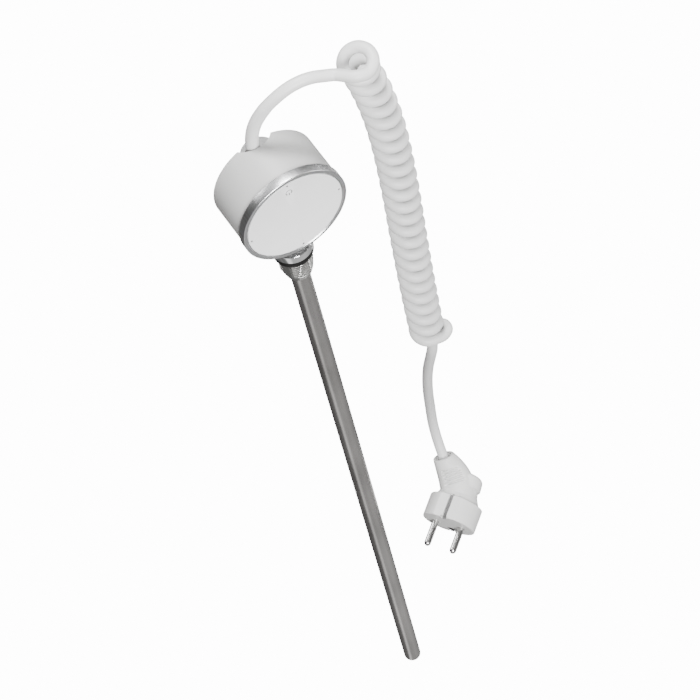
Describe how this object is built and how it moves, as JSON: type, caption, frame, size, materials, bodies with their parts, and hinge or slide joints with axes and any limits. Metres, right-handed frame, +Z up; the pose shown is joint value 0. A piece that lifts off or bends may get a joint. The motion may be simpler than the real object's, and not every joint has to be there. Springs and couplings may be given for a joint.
{
  "type": "electric heating element",
  "caption": "Rod immersion heating element for a towel radiator: round control head with a turning ring, chrome collar, threaded fitting, curly mains cord and plug.",
  "frame": {"origin": "on the rod's axis in the plane of the collar's underside, which seats on the radiator's port", "axes": "+Z up along the rod's axis towards the head, the rod hanging to -Z; -Y out of the head's face; +X to the right of the face"},
  "size_m": [0.1244, 0.0865, 0.6767],
  "materials": {
    "white_plastic": "satin white",
    "white_cord": "smooth white PVC",
    "white_plug": "moulded white",
    "pale_plastic": "plain pale grey",
    "chrome": "polished",
    "stainless": "plain drawn steel",
    "brass": "plain",
    "black_rubber": "moulded black",
    "circuit_board": "green laminate",
    "dark_plastic": "moulded dark",
    "ceramic": "packed white powder"
  },
  "bodies": {
    "fitting": {"sheath_tube": "stainless", "magnesia_core": "ceramic", "heating_winding": "stainless", "ceramic_mandrel": "ceramic", "terminal_pin_live": "stainless", "terminal_pin_neutral": "stainless", "thermal_fuse": "brass", "end_seal": "black_rubber", "threaded_fitting": "stainless", "seal_ring": "black_rubber", "earth_lug": "brass", "collar": "chrome", "retaining_clip": "stainless"},
    "head": {"back_cover": "pale_plastic", "capacitor": "dark_plastic", "clamp_screw_1": "stainless", "clamp_screw_2": "stainless", "control_board": "circuit_board", "cord_clamp": "pale_plastic", "cord_coil": "white_cord", "cord_gland": "pale_plastic", "cord_lead": "white_cord", "cord_tail": "white_cord", "cover_screw_1": "stainless", "cover_screw_2": "stainless", "cover_screw_3": "stainless", "cover_screw_4": "stainless", "earth_socket": "brass", "earth_strip_lower": "stainless", "earth_strip_upper": "stainless", "face_disc": "white_plastic", "head_housing": "white_plastic", "indicator_light_1": "dark_plastic", "indicator_light_2": "dark_plastic", "indicator_light_3": "dark_plastic", "indicator_light_4": "dark_plastic", "inner_frame": "pale_plastic", "microcontroller": "dark_plastic", "neck_bushing": "pale_plastic", "plug_body": "white_plug", "plug_pin_left": "chrome", "plug_pin_right": "chrome", "power_board": "circuit_board", "power_symbol_lens": "white_plastic", "relay": "dark_plastic", "terminal_block": "pale_plastic", "terminal_screw_1": "brass", "terminal_screw_2": "brass", "terminal_screw_3": "brass", "transformer": "dark_plastic"},
    "ring": {"control_ring": "chrome", "encoder_magnet_ring": "dark_plastic"}
  },
  "joints": [
    {"name": "head_swivel", "type": "hinge", "parent": "fitting", "child": "head", "pos_m": [0, 0, 0.03], "axis": [0, 0, 1], "range_deg": [-160, 160]},
    {"name": "ring_turn", "type": "hinge", "parent": "head", "child": "ring", "pos_m": [0, -0.02, 0.058], "axis": [0, -1, 0], "range_deg": [-225, 45]}
  ]
}
